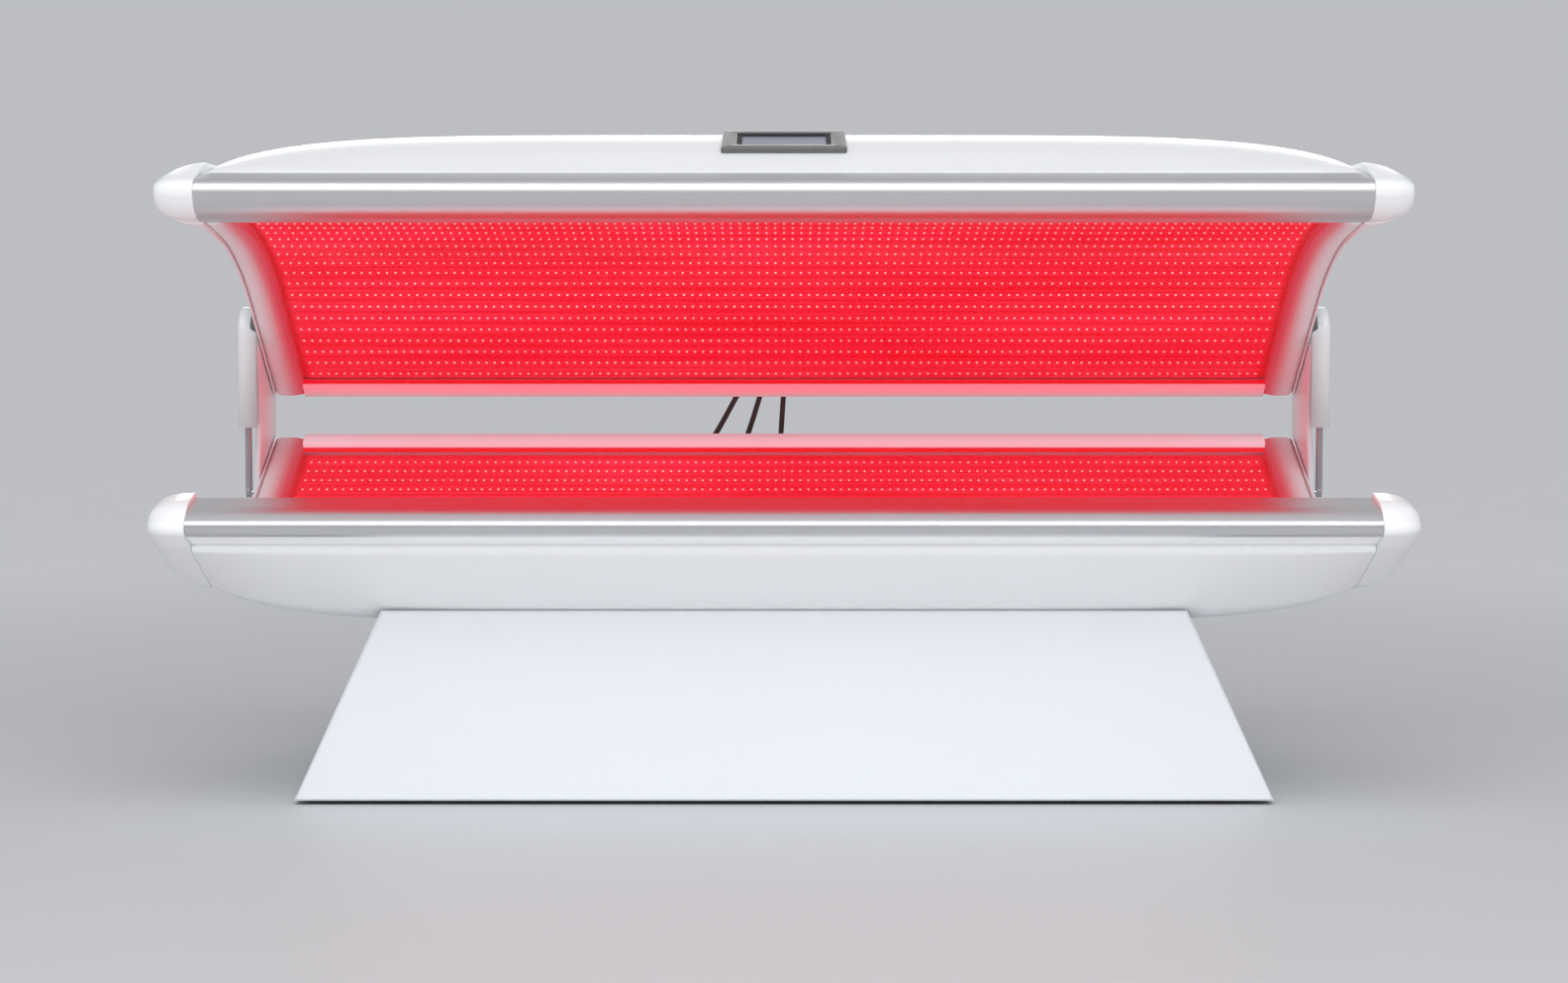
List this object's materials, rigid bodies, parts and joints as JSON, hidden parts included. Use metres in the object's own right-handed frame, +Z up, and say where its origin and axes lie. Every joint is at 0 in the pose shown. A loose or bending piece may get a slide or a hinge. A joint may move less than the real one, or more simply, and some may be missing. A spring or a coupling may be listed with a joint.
{
  "type": "red light therapy bed",
  "caption": "Clamshell red light therapy bed on a tapered plinth: lit lying trough and lit canopy hinged on rear side posts, with bright front rails.",
  "frame": {"origin": "on the floor, under the middle of the bed's length and depth", "axes": "+Z up, +X along the bed to the right seen from the front, open front faces -Y"},
  "size_m": [1.94, 0.9068, 1.0765],
  "materials": {
    "white_shell": "glossy white moulded shell",
    "satin_aluminium": "satin drawn extrusion",
    "lit_acrylic": "clear sheet lit red from behind",
    "arch_white": "satin white moulding",
    "sheet_aluminium": "bare sheet",
    "board": "white solder mask",
    "white_paint": "smooth white powder coat",
    "frame_paint": "grey primer",
    "black_rubber": "matte",
    "black_plastic": "moulded matte black",
    "grey_bezel": "satin grey",
    "screen_glass": "liquid crystal screen",
    "bright_steel": "turned",
    "bush_brass": "turned",
    "strut_grey": "satin grey paint"
  },
  "bodies": {
    "bed": {"bed_shell": "white_shell", "bed_front_rail": "satin_aluminium", "bed_rear_rail": "satin_aluminium", "bed_acrylic": "lit_acrylic", "bed_led_tray": "sheet_aluminium", "bed_led_boards": "board", "bed_ribs": "sheet_aluminium", "bed_left_arch": "arch_white", "bed_left_cap": "white_shell", "bed_right_arch": "arch_white", "bed_right_cap": "white_shell", "bed_glands": "black_plastic", "left_hinge_post": "white_paint", "right_hinge_post": "white_paint", "left_post_cover": "white_shell", "right_post_cover": "white_shell", "hinge_bushes": "bush_brass", "strut_studs": "bright_steel", "post_bolts": "bright_steel", "plinth_front_panel": "white_paint", "plinth_rear_panel": "white_paint", "plinth_side_panels": "white_paint", "plinth_frame": "frame_paint", "plinth_floor_pan": "frame_paint", "plinth_feet": "black_rubber", "led_power_supplies": "sheet_aluminium", "control_box": "black_plastic", "plinth_fan_frames": "black_plastic", "plinth_fan_guards": "bright_steel", "power_inlet": "black_plastic", "switch_bezel": "black_plastic", "cable_left": "black_rubber", "cable_middle": "black_rubber", "cable_right": "black_rubber"},
    "canopy": {"canopy_shell": "white_shell", "canopy_front_rail": "satin_aluminium", "canopy_rear_rail": "satin_aluminium", "canopy_acrylic": "lit_acrylic", "canopy_led_tray": "sheet_aluminium", "canopy_led_boards": "board", "canopy_ribs": "sheet_aluminium", "canopy_left_arch": "arch_white", "canopy_left_cap": "white_shell", "canopy_right_arch": "arch_white", "canopy_right_cap": "white_shell", "canopy_fan_frames": "black_plastic", "display_bezel": "grey_bezel", "display_screen": "screen_glass", "canopy_glands": "black_plastic", "hinge_pins": "bright_steel", "hinge_levers": "bright_steel"},
    "left_strut_cylinder": {"left_strut_cylinder": "strut_grey"},
    "left_strut_rod": {"left_strut_rod": "bright_steel"},
    "right_strut_cylinder": {"right_strut_cylinder": "strut_grey"},
    "right_strut_rod": {"right_strut_rod": "bright_steel"},
    "plinth_left_fan": {"plinth_left_fan_rotor": "black_plastic"},
    "plinth_right_fan": {"plinth_right_fan_rotor": "black_plastic"},
    "canopy_left_fan": {"canopy_left_fan_rotor": "black_plastic"},
    "canopy_right_fan": {"canopy_right_fan_rotor": "black_plastic"},
    "mains_rocker": {"mains_rocker": "black_plastic"}
  },
  "joints": [
    {"name": "canopy_hinge", "type": "hinge", "parent": "bed", "child": "canopy", "pos_m": [0, 0.28, 0.7], "axis": [1, 0, 0], "range_deg": [0, 27], "deforming": ["cable_left", "cable_middle", "cable_right"]},
    {"name": "left_strut_swing", "type": "hinge", "parent": "bed", "child": "left_strut_cylinder", "pos_m": [-0.935, 0.215, 0.47], "axis": [1, 0, 0], "range_deg": [0, 3]},
    {"name": "left_strut_stroke", "type": "slide", "parent": "left_strut_cylinder", "child": "left_strut_rod", "axis": [0, 0, -1], "range_m": [0, 0.035]},
    {"name": "right_strut_swing", "type": "hinge", "parent": "bed", "child": "right_strut_cylinder", "pos_m": [0.935, 0.215, 0.47], "axis": [1, 0, 0], "range_deg": [0, 3]},
    {"name": "right_strut_stroke", "type": "slide", "parent": "right_strut_cylinder", "child": "right_strut_rod", "axis": [0, 0, -1], "range_m": [0, 0.035]},
    {"name": "plinth_left_fan_spin", "type": "hinge", "parent": "bed", "child": "plinth_left_fan", "pos_m": [-0.3, 0.22, 0.15], "axis": [0, 1, 0], "continuous": true},
    {"name": "plinth_right_fan_spin", "type": "hinge", "parent": "bed", "child": "plinth_right_fan", "pos_m": [0.3, 0.22, 0.15], "axis": [0, 1, 0], "continuous": true},
    {"name": "canopy_left_fan_spin", "type": "hinge", "parent": "canopy", "child": "canopy_left_fan", "pos_m": [-0.9, 0.06, 0.933], "axis": [1, 0, 0], "continuous": true},
    {"name": "canopy_right_fan_spin", "type": "hinge", "parent": "canopy", "child": "canopy_right_fan", "pos_m": [0.9, 0.06, 0.933], "axis": [1, 0, 0], "continuous": true},
    {"name": "mains_switch", "type": "hinge", "parent": "bed", "child": "mains_rocker", "pos_m": [0.12, 0.23, 0.12], "axis": [1, 0, 0], "range_deg": [-20, 0]}
  ],
  "couplings": [
    {"joint": "left_strut_swing", "follows": "canopy_hinge", "ratio": 0.0996},
    {"joint": "left_strut_stroke", "follows": "canopy_hinge", "m_per_rad": 0.0713},
    {"joint": "right_strut_swing", "follows": "canopy_hinge", "ratio": 0.0996},
    {"joint": "right_strut_stroke", "follows": "canopy_hinge", "m_per_rad": 0.0713}
  ]
}
